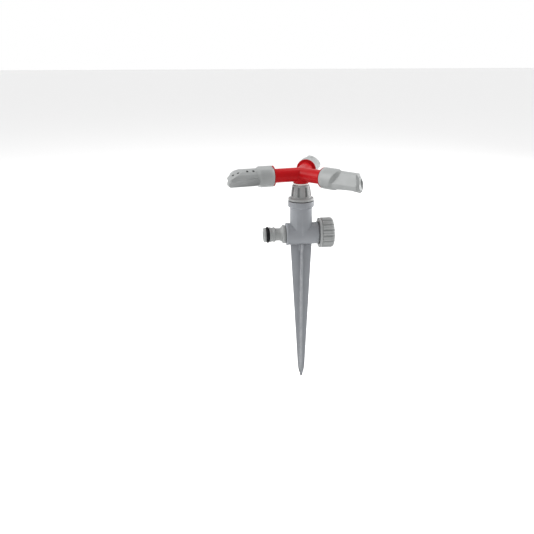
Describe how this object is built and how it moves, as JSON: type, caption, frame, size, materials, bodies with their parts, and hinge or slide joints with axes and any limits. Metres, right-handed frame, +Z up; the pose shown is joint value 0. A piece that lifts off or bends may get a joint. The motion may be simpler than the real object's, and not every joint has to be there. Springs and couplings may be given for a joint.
{
  "type": "rotating lawn sprinkler",
  "caption": "Rotating lawn sprinkler on a ground spike: water tee with hose nipple and screw-capped outlet, spinning red rotor with swivelling spray nozzles.",
  "frame": {"origin": "on the rotor's vertical axis, at the underside of the water barrel, where the soil comes up to when the spike is pushed in", "axes": "+Z up along the rotor's axis; +X along the barrel from the hose nipple to the outlet cap"},
  "size_m": [0.1247, 0.1366, 0.2365],
  "materials": {
    "body_plastic": "bluish grey moulded plastic, fine satin texture",
    "fitting_plastic": "light grey moulded plastic, satin",
    "rotor_plastic": "bright red glossy moulded plastic",
    "seal_rubber": "black rubber seal",
    "slip_plastic": "off-white slip washer"
  },
  "bodies": {
    "base": {"tee_body": "body_plastic", "ground_spike": "body_plastic", "inlet_nipple": "fitting_plastic", "nipple_o_ring": "seal_rubber", "nipple_gasket": "seal_rubber"},
    "cap_travel": {"outlet_gasket": "seal_rubber"},
    "cap": {"outlet_cap": "fitting_plastic"},
    "head_travel": {"housing_o_ring": "seal_rubber"},
    "head": {"bearing_housing": "fitting_plastic", "spindle_seal": "seal_rubber", "upper_thrust_washer": "slip_plastic", "lower_thrust_washer": "slip_plastic"},
    "rotor": {"rotor_arms": "rotor_plastic", "rotor_spindle": "rotor_plastic", "nozzle_o_ring_left": "seal_rubber", "nozzle_o_ring_right": "seal_rubber", "nozzle_o_ring_rear": "seal_rubber"},
    "nozzle_left": {"nozzle_left": "fitting_plastic"},
    "nozzle_right": {"nozzle_right": "fitting_plastic"},
    "nozzle_rear": {"nozzle_rear": "fitting_plastic"}
  },
  "joints": [
    {"name": "cap_lift", "type": "slide", "parent": "base", "child": "cap_travel", "axis": [1, 0, 0], "range_m": [0, 0.0075]},
    {"name": "cap_screw", "type": "hinge", "parent": "cap_travel", "child": "cap", "pos_m": [0, 0, 0.0116], "axis": [1, 0, 0], "range_deg": [0, 1080]},
    {"name": "head_lift", "type": "slide", "parent": "base", "child": "head_travel", "axis": [0, 0, 1], "range_m": [0, 0.0075]},
    {"name": "head_screw", "type": "hinge", "parent": "head_travel", "child": "head", "pos_m": [0, 0, 0], "axis": [0, 0, 1], "range_deg": [0, 1080]},
    {"name": "rotor_spin", "type": "hinge", "parent": "head", "child": "rotor", "pos_m": [0, 0, 0.0735], "axis": [0, 0, 1], "continuous": true},
    {"name": "nozzle_left_swivel", "type": "hinge", "parent": "rotor", "child": "nozzle_left", "pos_m": [0, 0, 0.0735], "axis": [-0.9848, -0.1736, 0], "continuous": true},
    {"name": "nozzle_right_swivel", "type": "hinge", "parent": "rotor", "child": "nozzle_right", "pos_m": [0, 0, 0.0735], "axis": [0.6428, -0.766, 0], "continuous": true},
    {"name": "nozzle_rear_swivel", "type": "hinge", "parent": "rotor", "child": "nozzle_rear", "pos_m": [0, 0, 0.0735], "axis": [0.342, 0.9397, 0], "continuous": true}
  ],
  "couplings": [
    {"joint": "cap_lift", "follows": "cap_screw", "m_per_rad": 0.00039789},
    {"joint": "head_lift", "follows": "head_screw", "m_per_rad": 0.00039789}
  ]
}
